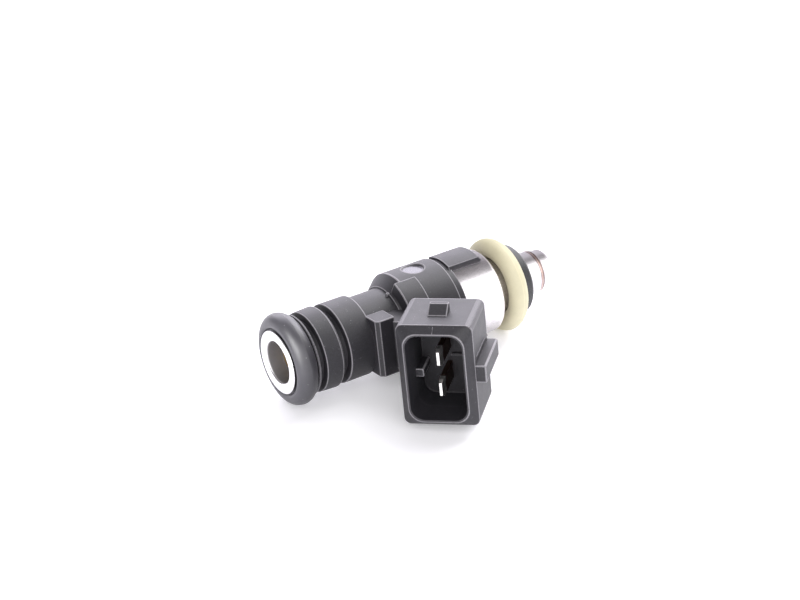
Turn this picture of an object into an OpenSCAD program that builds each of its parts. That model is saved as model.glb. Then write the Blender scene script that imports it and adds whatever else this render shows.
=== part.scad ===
// Port fuel injector lying on its side: +X runs from the fuel inlet to the spray tip,
// +Z is up, the electrical hood leans towards -Y, and the origin is the inlet mouth's centre.

/* [Inlet] */
// Radius of the fuel tube's bore
tube_bore_r = 3.33; // [3.15:0.01:3.6]
// Wall of the fuel tube
tube_wall = 0.5; // [0.4:0.05:0.7]
// Radius of the rolled lip round the inlet mouth
lip_r = 5.06; // [4.8:0.01:5.2]
// Length of the plain mouth in front of the filter
mouth_len = 2.6; // [2:0.1:4]

/* [Seals] */
// Half thickness of the upper sealing ring
ring1_r = 1.76; // [1.5:0.01:1.9]
// Distance from the inlet face to the middle of the upper sealing ring
ring1_x = 1.9; // [1.85:0.01:2.4]
// Half thickness of the lower sealing ring
ring2_r = 1.59; // [1.4:0.01:1.9]
// Free gap between the steel housing and the lower sealing ring
ring2_gap = 1.32; // [0.5:0.01:2.5]
// Outer radius of the ring that holds the lower seal on
support_r = 5.75; // [5.3:0.05:6.4]
// Width of the ring that holds the lower seal on
support_w = 1.9; // [1.4:0.1:2.5]

/* [Moulding] */
// Radius of the plain front stretch of the moulding
front_r = 6.4; // [5.9:0.05:6.8]
// Radius at the bottom of the two clip grooves
groove_r = 5.2; // [4.8:0.05:5.5]
// Width of the land behind the upper seal
land_w = 0.3; // [0.25:0.05:1.2]
// Width of the narrow groove
groove1_w = 1.12; // [0.5:0.01:1.5]
// Width of the flange between the grooves
flange_w = 3.04; // [2:0.01:4]
// Width of the clip groove
groove2_w = 1.21; // [0.8:0.01:2]
// Length of the plain front stretch
front_w = 4.74; // [4:0.01:8]
// Radius of the neck
neck_r = 5.85; // [5.2:0.05:6.2]
// Length of the neck
neck_w = 5.29; // [4.5:0.01:12]
// Length of the bevel from the neck to the wide stretch
shoulder_w = 2; // [1:0.1:3]
// Plastic thickness over the steel housing
skin = 0.9; // [0.7:0.05:1.4]
// Length of the wide stretch
wide_w = 8.05; // [7:0.01:12]
// Radius step from the wide stretch down to its collar
collar_drop = 0.4; // [0.2:0.05:0.6]
// Width of the collar
collar_w = 1.2; // [0.6:0.1:2]
// Length of the two tongues that lie on the steel housing
tongue_w = 5.75; // [3:0.05:6]
// Half angle that each tongue covers
tongue_half = 24; // [12:1:35]
// Radius of the round dimples in the wide stretch
dimple_r = 1.85; // [1:0.05:2.4]
// Depth of the round dimples
dimple_depth = 0.4; // [0.2:0.05:0.6]

/* [Hood] */
// Angle that the connector plane is turned up from -Y
hood_turn = 6.2; // [0:0.1:15]
// Lean of the plug direction from square, towards the inlet
hood_lean = 46.2; // [40:0.1:50]
// Distance from the injector's axis to the middle of the hood's front edge
hood_reach = 20.63; // [20:0.01:24]
// Distance that the middle of the hood's front edge lies in front of the shoulder
hood_back = 3.85; // [3.4:0.01:4.4]
// Short side of the hood
hood_w = 11.5; // [11:0.1:12.5]
// Long side of the hood
hood_l = 16.34; // [15.8:0.01:18]
// Depth of the hood behind its front edge
hood_depth = 9.4; // [8.9:0.1:10.4]
// Height of the pyramid bevel on the hood's front
hood_bevel = 1.3; // [0.8:0.1:1.6]
// Outer corner radius of the hood
hood_corner = 1; // [0.5:0.1:1.6]
// Short side of the plug cavity
cavity_w = 8.56; // [8.2:0.01:9.2]
// Long side of the plug cavity
cavity_l = 13.7; // [13:0.1:14.4]
// Corner radius of the plug cavity
cavity_corner = 2; // [1:0.1:2.6]
// Depth of the plug cavity behind the hood's front edge
cavity_depth = 7.2; // [6.6:0.1:7.6]
// Width of the lip between the bevel and the cavity
cavity_lip = 0.3; // [0.2:0.05:0.6]
// How far the key rib stands out of the hood's side
key_out = 1.54; // [1:0.01:2]
// Thickness of the key rib
key_w = 2.74; // [2:0.01:3.4]
// Width of the latch wedges
latch_w = 2.9; // [2:0.1:4]
// Height of the latch wedges
latch_h = 1.35; // [0.8:0.05:1.6]
// Length of the latch wedges
latch_len = 2.4; // [1.6:0.1:3]
// Distance from the hood's front edge to the latch wedges
latch_set = 2.8; // [2:0.1:3.6]
// Half width of the arm that carries the hood
arm_half = 4; // [4:0.1:5.5]
// Half width of the boss on the neck
boss_half = 4.7; // [4:0.1:5.4]
// Distance from the injector's axis to the boss's flat face
boss_reach = 7.54; // [7:0.01:8.4]
// Thickness of the pad round the body beside the arm
pad_out = 0.35; // [0.2:0.05:0.8]

/* [Terminals] */
// Distance between the two blades' middles
blade_pitch = 5; // [4.8:0.1:5.4]
// Width of a blade
blade_w = 2.8; // [2.4:0.1:3]
// Thickness of a blade
blade_t = 0.8; // [0.6:0.05:1]
// Width of the leg from a blade to the coil
leg_w = 1.2; // [0.8:0.1:1.6]

/* [Housing] */
// Outer radius of the steel magnet housing
can_r = 6.85; // [6.6:0.05:7.6]
// Wall of the steel magnet housing round the coil
can_wall = 0.75; // [0.6:0.05:0.9]
// Length of the housing that shows past the collar
can_show = 7.2; // [6.6:0.01:10]
// Radius of the housing's neck under the lower seal
can_neck_r = 4.56; // [4.3:0.01:4.9]
// Thickness of the magnet cover
cover_t = 1.3; // [1:0.1:1.6]
// Wall of the coil bobbin's hub and flanges
bobbin_wall = 0.6; // [0.5:0.05:0.8]
// Free height between the winding and the housing
winding_gap = 0.5; // [0.3:0.05:0.8]

/* [Valve] */
// Outer radius of the thin valve sleeve
sleeve_r = 3.6; // [3.55:0.01:3.7]
// Wall of the valve sleeve
sleeve_wall = 0.5; // [0.4:0.05:0.55]
// Length of the sleeve that shows past the support ring
sleeve_show = 3.5; // [2.5:0.1:8]
// Outer radius of the tip
tip_r = 3.3; // [3.2:0.01:3.5]
// Length of the tip past the sleeve
tip_w = 2.4; // [2.3:0.1:3.4]
// Depth of the recess in the tip's end
tip_recess = 0.8; // [0.5:0.1:0.9]
// Radius of the pole core's bore
pole_bore_r = 1.5; // [1.3:0.05:1.7]
// Length of the armature
armature_len = 6; // [5:0.1:7]
// Valve lift, from the seat to the pole core
lift = 0.08; // [0.05:0.01:0.15]
// Radius of the valve ball
ball_r = 1.5; // [1.3:0.05:1.6]
// Outer radius of the needle tube
needle_r = 1; // [0.8:0.05:1.1]
// Half angle of the valve seat
seat_half = 45; // [40:1:50]
// Turns of the return spring
spring_turns = 9; // [6:1:12]
// Wire radius of the return spring
wire_r = 0.18; // [0.12:0.01:0.2]

/* [Fits] */
// Gap between pieces that are pressed, moulded or welded together
fit = 0.01; // [0.005:0.005:0.02]
// Gap round the armature in the sleeve
slide_fit = 0.06; // [0.04:0.01:0.1]
// Gap round the ball in its guide
guide_fit = 0.04; // [0.02:0.01:0.08]
// Gap left between surfaces that meet when the valve opens or closes
stop_gap = 0.01; // [0.005:0.005:0.02]

/* [Hidden] */
$fn = 96;

// Overrun of a cutter past the face that it opens
over = 0.5;
// Far size of a wedge that sorts a ring into sectors
far = 30;

// Places along the axis, each from the one before it
tube_r = tube_bore_r + tube_wall;
// The filter stops against a small step behind the plain mouth
mouth_step = 0.25;
socket_r = tube_bore_r - mouth_step;
x_land = ring1_x + ring1_r + 4 * fit;
x_groove1 = x_land + land_w;
x_flange = x_groove1 + groove1_w;
x_groove2 = x_flange + flange_w;
x_front = x_groove2 + groove2_w;
x_neck = x_front + front_w;
x_shoulder = x_neck + neck_w;
x_wide = x_shoulder + shoulder_w;
x_rim = x_wide + wide_w;
x_collar = x_rim + collar_w;
x_tongue = x_collar + tongue_w;
x_can_end = x_collar + can_show;
ring2_x = x_can_end + ring2_gap + ring2_r;
x_support = ring2_x + ring2_r + 4 * fit;
x_support_end = x_support + support_w;
x_sleeve_end = x_support_end + sleeve_show;
x_tip = x_sleeve_end + tip_w;

// Magnet housing, coil and cover
wide_r = can_r + skin;
edge = 0.3;
can_step = 0.4;
x_can = x_wide - can_step;
pot_depth = 10.4;
x_pot = x_can + pot_depth;
pot_r = can_r - can_wall;
cover_set = 0.1;
x_cover = x_can + cover_set;
x_bobbin = x_cover + cover_t + fit;
x_bobbin_end = x_pot - fit;
hub_r = sleeve_r + fit + bobbin_wall;
neck_short = 0.2;
x_can_neck_end = x_support_end - neck_short;

// Tower on the bobbin that carries the terminals out through the cover
tower_half = 3.7;
tower_reach = 8.4;
x_tower_end = x_bobbin + bobbin_wall;

// Fuel tube, sleeve and pole core
tube_in_neck = 2;
x_tube_end = x_neck + tube_in_neck;
socket_len = 3.1;
x_socket = x_tube_end - socket_len;
sleeve_bore_r = sleeve_r - sleeve_wall;
spigot_bore_r = socket_r - fit - sleeve_wall;
x_spigot_end = x_tube_end + fit + sleeve_wall;
pole_set = 0.9;
x_pole = x_tube_end + pole_set;
x_pole_end = x_pot + 0.2;

// Valve group: the armature hangs lift away from the pole core when the valve is shut
x_armature = x_pole_end + lift + stop_gap;
x_armature_end = x_armature + armature_len;
spring_seat = 1.7;
x_spring_end = x_armature + spring_seat;
needle_socket = 3.5;
x_needle = x_armature_end - needle_socket;
needle_bore_r = needle_r - 0.35;
guide_r = ball_r + guide_fit;
tip_edge = 0.5;
weld_w = 0.4;
tip_recess_r = tip_r - 3 * edge;
x_plate = x_tip - tip_recess;
plate_t = 0.25;
outlet_r = 0.6;
outlet_len = 0.65;
x_cone_end = x_plate - outlet_len;
x_cone = x_cone_end - (guide_r - outlet_r) / tan(seat_half);
x_ball = x_cone + guide_r / tan(seat_half) - (ball_r + stop_gap) / sin(seat_half);
seat_len = 2;
x_seat = x_sleeve_end - seat_len;

// Filter and adjusting sleeve
filter_collar_w = 2.4;
filter_collar_wall = 0.6;
filter_len = 8.8;
filter_wall = 0.5;
frame_r = socket_r - filter_collar_wall - 2 * fit;
mesh_r = frame_r - filter_wall - fit;
mesh_wall = 0.1;
x_filter_end = mouth_len + filter_len;
adjuster_len = 4.5;
adjuster_wall = 0.35;
adjuster_set = 0.5;
x_adjuster = x_pole + adjuster_set;
x_spring = x_adjuster + adjuster_len + fit;

// Hood frame: a runs along the short side, d out of the mouth, both in the connector plane
hood_x = x_shoulder - hood_back;
function hood_point(a, d) = [
    hood_x + a * cos(hood_lean) - d * sin(hood_lean),
    -(hood_reach + a * sin(hood_lean) + d * cos(hood_lean))
];
blade_shift = 0.2;
blade_set = 0.24;
blade_taper = 0.7;
key_rise = 0.24;
key_set = 0.1;
inner_key_w = 1.3;
inner_key_out = 1.4;
inner_key_set = 3;
inner_key_drop = 1.2;
leg_x = x_cover + 0.6;
blade_root = (leg_x - hood_x - blade_shift * cos(hood_lean)) / sin(hood_lean);
leg_top = -hood_point(blade_shift, -blade_root)[1];
leg_bottom = hub_r + 1;

// A profile of [radius, x] points spun about the injector's axis
module spun() rotate([0, 90, 0]) rotate_extrude() children();

// A plain tube or, with a bore of 0, a rod along the axis
module tube(from, to, outer, bore = 0)
    spun() translate([bore, from]) square([outer - bore, to - from]);

// A ring of round section round the axis
module torus(x, middle_r, section_r)
    spun() translate([middle_r, x]) circle(r = section_r);

// Turns its children from the plane y-z of the hood to the connector plane
module connector_plane() rotate([-hood_turn, 0, 0]) children();

// Puts its children in the hood's own frame: x along the short side, -y out of the mouth
module hood_frame()
    connector_plane() translate([hood_x, -hood_reach, 0]) rotate([0, 0, -hood_lean]) children();

// A long prism along X that keeps a sector round -Y, turned by dir about X
module sector(half, dir)
    rotate([dir, 0, 0]) rotate([0, 90, 0]) linear_extrude(height = 2 * far)
        polygon([[0, 0], [-far * sin(half), -far * cos(half)], [-far * sin(half), -far],
            [far * sin(half), -far], [far * sin(half), -far * cos(half)]]);

// A rectangle with round corners, in the hood's x-z plane, from y = -front to y = back
module rounded_prism(w, l, corner, front, back)
    translate([0, back, 0]) rotate([90, 0, 0]) linear_extrude(height = front + back)
        union() {
            square([w - 2 * corner, l], center = true);
            square([w, l - 2 * corner], center = true);
            for (sx = [-1, 1], sz = [-1, 1])
                translate([sx * (w / 2 - corner), sz * (l / 2 - corner)]) circle(r = corner);
        }

// Outline of the hood seen along one side: straight, then bevelled in to the lip
module bevelled_outline(side, lip)
    polygon([[-side / 2, hood_depth], [side / 2, hood_depth], [side / 2, 0],
        [lip / 2, -hood_bevel], [-lip / 2, -hood_bevel], [-side / 2, 0]]);

module hood_shell() {
    intersection() {
        rounded_prism(hood_w, hood_l, hood_corner, hood_bevel, hood_depth);
        linear_extrude(height = 2 * hood_l, center = true)
            bevelled_outline(hood_w, cavity_w + 2 * cavity_lip);
        rotate([0, 90, 0]) linear_extrude(height = 2 * hood_w, center = true)
            bevelled_outline(hood_l, cavity_l + 2 * cavity_lip);
    }
    translate([hood_w / 2 - edge, key_set, key_rise - key_w / 2])
        cube([key_out + edge, hood_depth - key_set, key_w]);
    for (side = [0, 1]) mirror([0, 0, side])
        rotate([0, 90, 0]) linear_extrude(height = latch_w, center = true)
            polygon([[-hood_l / 2 + edge, latch_set], [-hood_l / 2, latch_set],
                [-hood_l / 2 - latch_h, latch_set + latch_len * 0.7],
                [-hood_l / 2 - latch_h, latch_set + latch_len],
                [-hood_l / 2 + edge, latch_set + latch_len]]);
}

module hood_cavity() difference() {
    rounded_prism(cavity_w, cavity_l, cavity_corner, hood_bevel + over, cavity_depth);
    translate([-cavity_w / 2 - over, inner_key_set, -inner_key_drop - inner_key_w / 2])
        cube([inner_key_out + over, cavity_depth, inner_key_w]);
}

// Boss on the neck, with its upright edge and its long edges bevelled
boss_w = 3.2;
boss_bevel = 0.6;
x_boss = x_neck - 0.45;
module boss() intersection() {
    linear_extrude(height = 2 * boss_half, center = true)
        polygon([[x_boss, 0], [x_boss, -boss_reach + boss_bevel],
            [x_boss + boss_bevel, -boss_reach], [x_boss + boss_w, -boss_reach],
            [x_boss + boss_w, 0]]);
    rotate([0, 90, 0]) linear_extrude(height = 2 * far)
        polygon([[-boss_half, 0], [-boss_half, -boss_reach + boss_bevel],
            [-boss_half + boss_bevel, -boss_reach], [boss_half - boss_bevel, -boss_reach],
            [boss_half, -boss_reach + boss_bevel], [boss_half, 0]]);
}

// Arm from the body to the back of the hood
arm_inset = 0.9;
arm_foot = 6;
module arm() linear_extrude(height = 2 * arm_half, center = true)
    polygon([[x_boss + boss_w - edge, 0], [x_boss + boss_w - edge, -boss_reach + edge],
        hood_point(-hood_w / 2 + arm_inset, edge - hood_depth),
        hood_point(hood_w / 2 - arm_inset, edge - hood_depth),
        [x_wide + arm_foot, -wide_r], [x_wide + arm_foot, 0]]);

// Raised pad that wraps the shoulder on both sides of the arm
pad_set = 0.8;
pad_w = 3.85;
pad_half = 70;
module pad() intersection() {
    tube(x_shoulder + pad_set, x_shoulder + pad_set + pad_w, wide_r + pad_out, can_r + edge);
    sector(pad_half, 0);
}

module moulding_outside() {
    ramp = edge;
    spun() polygon([[0, x_land], [front_r - ramp, x_land], [front_r, x_land + ramp / 2],
        [front_r, x_groove1], [groove_r, x_groove1], [groove_r, x_flange],
        [front_r, x_flange], [front_r + ramp / 2, x_groove2], [groove_r, x_groove2],
        [groove_r, x_front], [front_r, x_front], [front_r, x_neck - ramp],
        [neck_r, x_neck], [neck_r, x_shoulder], [neck_r + ramp, x_shoulder],
        [wide_r, x_wide], [wide_r, x_rim], [wide_r - collar_drop, x_rim],
        [wide_r - collar_drop, x_collar], [0, x_collar]]);
    connector_plane() {
        boss();
        arm();
        pad();
        for (side = [-90, 90]) intersection() {
            tube(x_collar - edge, x_tongue, wide_r, can_r + fit);
            sector(tongue_half, side);
        }
    }
    hood_frame() hood_shell();
}

// Everything that the plastic was moulded round, plus the fit
module moulded_in() {
    tube(x_land - over, x_tube_end + fit, tube_r + fit);
    tube(x_tube_end - over, x_can, sleeve_r + fit);
    tube(x_can - fit, x_tip, can_r + fit);
    tower(fit);
    terminal(1, fit);
    terminal(-1, fit);
}

module body_moulding() color([0.23, 0.23, 0.25]) difference() {
    moulding_outside();
    moulded_in();
    hood_frame() hood_cavity();
    for (side = [0, 1]) connector_plane() mirror([0, 0, side])
        translate([(x_wide + x_rim) / 2, 0, wide_r - dimple_depth]) cylinder(h = over * 2, r = dimple_r);
}

// Bobbin tower that the terminals stand in
module tower(grow) connector_plane()
    translate([x_cover - grow, -tower_reach - grow, -tower_half - grow])
        cube([x_tower_end - x_cover + 2 * grow, tower_reach - hub_r + grow,
            2 * (tower_half + grow)]);

// One terminal: a blade in the plug cavity, and a leg from its root down to the coil
module terminal(side, grow) {
    rise = side * blade_pitch / 2;
    hood_frame() translate([blade_shift, 0, rise]) rotate([0, 90, 0])
        linear_extrude(height = blade_t + 2 * grow, center = true)
            polygon([[-blade_w / 2 - grow, blade_root + blade_t / 2],
                [-blade_w / 2 - grow, blade_set + blade_taper],
                [-blade_w / 2 + blade_taper / 2, blade_set - grow],
                [blade_w / 2 - blade_taper / 2, blade_set - grow],
                [blade_w / 2 + grow, blade_set + blade_taper],
                [blade_w / 2 + grow, blade_root + blade_t / 2]]);
    connector_plane()
        translate([leg_x - blade_t / 2 - grow, -leg_top - grow, rise - leg_w / 2 - grow])
            cube([blade_t + 2 * grow, leg_top - leg_bottom + 2 * grow, leg_w + 2 * grow]);
}

module terminal_upper() color([0.86, 0.84, 0.8]) terminal(1, 0);

module terminal_lower() color([0.86, 0.84, 0.8]) terminal(-1, 0);

module upper_o_ring() color([0.27, 0.27, 0.3])
    torus(ring1_x, tube_r + ring1_r + fit, ring1_r);

module lower_o_ring() color([0.85, 0.82, 0.65])
    torus(ring2_x, can_neck_r + ring2_r + fit, ring2_r);

module support_ring() color([0.15, 0.15, 0.16])
    spun() polygon([[can_neck_r + fit, x_support], [support_r - edge, x_support],
        [support_r, x_support + edge], [support_r, x_support_end - edge],
        [support_r - edge, x_support_end], [can_neck_r + fit, x_support_end]]);

// Fuel tube: its lip is rolled to the curve of the seal that lies behind it
lip_depth = 1.2;
module inlet_tube() color([0.86, 0.87, 0.88]) {
    spun() polygon([[tube_bore_r, 0], [tube_r, 0], [tube_r, x_tube_end],
        [socket_r, x_tube_end], [socket_r, mouth_len], [tube_bore_r, mouth_len]]);
    difference() {
        tube(0, lip_depth, lip_r, tube_r - tube_wall / 2);
        torus(ring1_x, tube_r + ring1_r + fit, ring1_r + fit);
    }
}

module filter_collar() color([0.8, 0.68, 0.4])
    tube(mouth_len, mouth_len + filter_collar_w, socket_r - fit, frame_r + fit);

module filter_frame() color([0.55, 0.5, 0.4]) {
    x_ring = mouth_len + filter_collar_w + filter_wall;
    x_foot = x_filter_end - filter_wall;
    tube(mouth_len, x_ring, frame_r, frame_r - filter_wall);
    tube(x_foot, x_filter_end, frame_r);
    for (turn = [0:120:240]) rotate([turn, 0, 0])
        translate([x_ring - filter_wall / 2, -filter_wall / 2, frame_r - filter_wall])
            cube([x_foot - x_ring + filter_wall, filter_wall, filter_wall - fit]);
}

module filter_mesh() color([0.75, 0.75, 0.7])
    tube(mouth_len + filter_wall, x_filter_end - filter_wall - fit, mesh_r, mesh_r - mesh_wall);

// Slotted spring pin whose place sets the spring's load
module adjusting_sleeve() color([0.7, 0.7, 0.72]) difference() {
    tube(x_adjuster, x_adjuster + adjuster_len, pole_bore_r - fit,
        pole_bore_r - fit - adjuster_wall);
    translate([x_adjuster - over, -adjuster_wall / 2, 0])
        cube([adjuster_len + 2 * over, adjuster_wall, pole_bore_r + over]);
}

// Closed-end coil spring: a round wire carried round a helix whose end turns lie flat
spring_sides = 8;
spring_steps = 20;
spring_gap = 0.08;
spring_mid_r = pole_bore_r - wire_r - spring_gap;
spring_count = spring_turns * spring_steps;
function spring_rise(t) =
    let (pitch = 2 * wire_r + fit,
        free = x_spring_end - x_spring - 2 * wire_r - 2 * pitch)
    t < 1 ? t * pitch
    : t > spring_turns - 1 ? pitch + free + (t - spring_turns + 1) * pitch
    : pitch + free * (t - 1) / (spring_turns - 2);
function spring_ring(t) = [for (k = [0:spring_sides - 1])
    let (across = spring_mid_r + wire_r * cos(360 * k / spring_sides))
    [x_spring + wire_r + spring_rise(t) + wire_r * sin(360 * k / spring_sides),
        across * cos(360 * t), across * sin(360 * t)]];
module return_spring() color([0.6, 0.6, 0.62]) {
    rings = [for (i = [0:spring_count]) each spring_ring(i / spring_steps)];
    sides = [for (i = [0:spring_count - 1], k = [0:spring_sides - 1])
        let (a = i * spring_sides, next = (k + 1) % spring_sides)
        [a + k, a + spring_sides + k, a + spring_sides + next, a + next]];
    start_cap = [for (k = [0:spring_sides - 1]) k];
    end_cap = [for (k = [spring_sides - 1:-1:0]) spring_count * spring_sides + k];
    polyhedron(points = rings, faces = concat([start_cap], [end_cap], sides));
}

module pole_core() color([0.62, 0.62, 0.64])
    tube(x_pole, x_pole_end, sleeve_bore_r - fit, pole_bore_r);

// Thin sleeve: its narrow mouth sits inside the fuel tube, its end holds the valve seat
module valve_sleeve() color([0.8, 0.8, 0.8])
    spun() polygon([[spigot_bore_r, x_socket], [socket_r - fit, x_socket],
        [socket_r - fit, x_tube_end + fit], [sleeve_r, x_tube_end + fit],
        [sleeve_r, x_sleeve_end], [sleeve_bore_r, x_sleeve_end],
        [sleeve_bore_r, x_spigot_end], [spigot_bore_r, x_spigot_end]]);

module armature() color([0.55, 0.56, 0.58]) {
    spun() polygon([[pole_bore_r, x_armature], [sleeve_bore_r - slide_fit, x_armature],
        [sleeve_bore_r - slide_fit, x_armature_end], [needle_r + fit, x_armature_end],
        [needle_r + fit, x_needle - fit], [needle_bore_r, x_needle - fit],
        [needle_bore_r, x_spring_end], [pole_bore_r, x_spring_end]]);
}

// Needle tube with cross holes that let the fuel out above the seat
cross_hole_r = 0.4;
cross_hole_set = 2.4;
module needle_tube() color([0.7, 0.7, 0.7]) difference() {
    tube(x_needle, x_ball, needle_r, needle_bore_r);
    translate([x_ball, 0, 0]) sphere(r = ball_r + fit);
    for (turn = [0, 90]) rotate([turn, 0, 0])
        translate([x_ball - ball_r - cross_hole_set, 0, -needle_r - over])
            cylinder(h = 2 * (needle_r + over), r = cross_hole_r);
}

module valve_ball() color([0.75, 0.76, 0.78])
    translate([x_ball, 0, 0]) sphere(r = ball_r);

// Valve seat: a ball guide with four flutes, a cone, an outlet and a recess for the plate
flute_r = 0.4;
module valve_seat() color([0.82, 0.8, 0.78]) difference() {
    spun() polygon([[guide_r, x_seat], [sleeve_bore_r - fit, x_seat],
        [sleeve_bore_r - fit, x_sleeve_end + fit], [sleeve_r, x_sleeve_end + fit],
        [tip_r, x_sleeve_end + fit + weld_w], [tip_r, x_tip - tip_edge], [tip_r - tip_edge, x_tip], [tip_recess_r, x_tip],
        [tip_recess_r, x_plate], [outlet_r, x_plate], [outlet_r, x_cone_end],
        [guide_r, x_cone]]);
    for (turn = [45:90:315]) rotate([turn, 0, 0])
        translate([x_seat - over, 0, guide_r])
            rotate([0, 90, 0]) cylinder(h = x_cone - x_seat + over, r = flute_r);
}

// Spray plate with its four holes
spray_hole_r = 0.11;
spray_pitch_r = 0.35;
module orifice_plate() color([0.78, 0.77, 0.74]) difference() {
    tube(x_plate + fit, x_plate + plate_t, tip_recess_r - fit);
    for (turn = [45:90:315]) rotate([turn, 0, 0])
        translate([x_plate - over, 0, spray_pitch_r])
            rotate([0, 90, 0]) cylinder(h = plate_t + 2 * over, r = spray_hole_r);
}

module coil_bobbin() color([0.3, 0.28, 0.26]) difference() {
    union() {
        tube(x_bobbin, x_bobbin_end, hub_r, sleeve_r + fit);
        tube(x_bobbin, x_tower_end, pot_r - fit, sleeve_r + fit);
        tube(x_bobbin_end - bobbin_wall, x_bobbin_end, pot_r - fit, sleeve_r + fit);
        tower(0);
    }
    terminal(1, fit);
    terminal(-1, fit);
}

module coil_winding() color([0.72, 0.42, 0.22])
    tube(x_tower_end + fit, x_bobbin_end - bobbin_wall - fit, pot_r - winding_gap, hub_r + fit);

module magnet_housing() color([0.8, 0.81, 0.83]) difference() {
    spun() polygon([[pot_r, x_can], [can_r, x_can], [can_r, x_can_end - edge],
        [can_r - edge, x_can_end], [can_neck_r, x_can_end],
        [can_neck_r, x_can_neck_end - edge], [can_neck_r - edge, x_can_neck_end],
        [sleeve_r + fit, x_can_neck_end], [sleeve_r + fit, x_pot], [pot_r, x_pot]]);
    tower(2 * fit);
}

module magnet_cover() color([0.6, 0.6, 0.63]) difference() {
    tube(x_cover, x_cover + cover_t, pot_r - fit, sleeve_r + fit);
    tower(2 * fit);
}

body_moulding();
upper_o_ring();
lower_o_ring();
support_ring();
inlet_tube();
filter_collar();
filter_frame();
filter_mesh();
adjusting_sleeve();
return_spring();
pole_core();
valve_sleeve();
armature();
needle_tube();
valve_ball();
valve_seat();
orifice_plate();
coil_bobbin();
coil_winding();
magnet_housing();
magnet_cover();
terminal_upper();
terminal_lower();
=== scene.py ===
"""Looks of a port fuel injector, built round its CAD frame.

X runs from the fuel inlet to the spray tip. The plug plane holds the X axis and the way the plug
leaves the body. Shapes are worked out in millimetres and written to meshes in metres."""

import math
from types import SimpleNamespace

import bpy
import numpy as np
from bpy.props import FloatProperty, FloatVectorProperty, PointerProperty
from mathutils import Matrix, Vector


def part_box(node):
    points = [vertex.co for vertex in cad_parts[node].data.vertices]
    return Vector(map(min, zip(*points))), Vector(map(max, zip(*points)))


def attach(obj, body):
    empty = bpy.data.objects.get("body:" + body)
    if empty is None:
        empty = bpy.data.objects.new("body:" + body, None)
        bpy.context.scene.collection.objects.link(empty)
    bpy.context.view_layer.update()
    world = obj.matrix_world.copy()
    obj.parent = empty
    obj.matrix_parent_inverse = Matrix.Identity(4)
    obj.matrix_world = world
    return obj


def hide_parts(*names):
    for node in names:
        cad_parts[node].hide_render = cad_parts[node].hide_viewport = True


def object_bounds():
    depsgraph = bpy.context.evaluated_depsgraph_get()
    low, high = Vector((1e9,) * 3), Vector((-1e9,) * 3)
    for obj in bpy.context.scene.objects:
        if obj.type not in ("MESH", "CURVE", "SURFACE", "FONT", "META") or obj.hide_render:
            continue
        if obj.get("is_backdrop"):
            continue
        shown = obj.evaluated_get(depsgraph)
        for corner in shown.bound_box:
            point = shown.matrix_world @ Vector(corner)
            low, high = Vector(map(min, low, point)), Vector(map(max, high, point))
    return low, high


bl_info = {
    "name": "Fuel injector looks",
    "version": (1, 0, 0),
    "blender": (4, 5, 0),
    "location": "3D View > Sidebar > Injector",
    "description": "Builds the finished surfaces of a port fuel injector round its CAD frame",
    "category": "Add Mesh",
}

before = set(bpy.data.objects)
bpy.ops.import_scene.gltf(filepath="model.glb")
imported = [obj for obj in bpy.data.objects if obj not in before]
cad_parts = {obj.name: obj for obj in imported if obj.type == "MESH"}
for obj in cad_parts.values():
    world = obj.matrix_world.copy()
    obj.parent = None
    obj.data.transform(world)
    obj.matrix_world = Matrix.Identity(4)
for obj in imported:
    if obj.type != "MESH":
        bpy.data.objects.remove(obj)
CAD_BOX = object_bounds()
MM = 0.001
BODY = "injector_body"
WEAR_AND_HIGHLIGHT = "worn"
POLISHED = "polished"


# ---- settings

def length(name, description, millimetres):
    return FloatProperty(name=name, description=description, default=millimetres * MM,
                         precision=5, unit="LENGTH")


def degrees(name, description, value):
    return FloatProperty(name=name, description=description, default=math.radians(value),
                         subtype="ANGLE")


def colour(name, description, value):
    return FloatVectorProperty(name=name, description=description, default=value, size=3,
                               min=0, max=1, subtype="COLOR")


def amount(name, description, value):
    return FloatProperty(name=name, description=description, default=value, min=0)


def extent(node):
    """A round node's start and end along the axis and its radius, in millimetres."""
    low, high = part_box(node)
    return low.x / MM, high.x / MM, (high.z - low.z) / 2 / MM


class MouldingSizes(bpy.types.PropertyGroup):
    plug_turn: degrees("Plug turn", "Angle that the plug plane is turned up from level", 6.2)
    front_radius: length("Front radius", "Radius of the front stretch", 6.4)
    groove_radius: length("Groove radius", "Radius at the bottom of the clip grooves", 5.2)
    neck_radius: length("Neck radius", "Radius of the neck", 5.85)
    wide_radius: length("Wide radius", "Radius of the stretch over the steel housing", 7.75)
    collar_radius: length("Collar radius", "Radius of the collar at the open end", 7.35)
    dimple_radius: length("Dimple radius", "Radius of the round dimples", 1.85)
    dimple_depth: length("Dimple depth", "Depth of the round dimples", 0.4)
    pad_height: length("Pad height", "Thickness of the pad over the wide stretch", 0.35)
    boss_reach: length("Boss reach", "Distance from the axis to the boss's flat face", 7.54)
    boss_half: length("Boss half width", "Half of the boss's long side", 4.7)
    arm_half: length("Arm half width", "Half width of the arm that carries the hood", 4.0)
    soft_edge: length("Soft edge", "Radius left by the mould on outer edges", 0.13)


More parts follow.
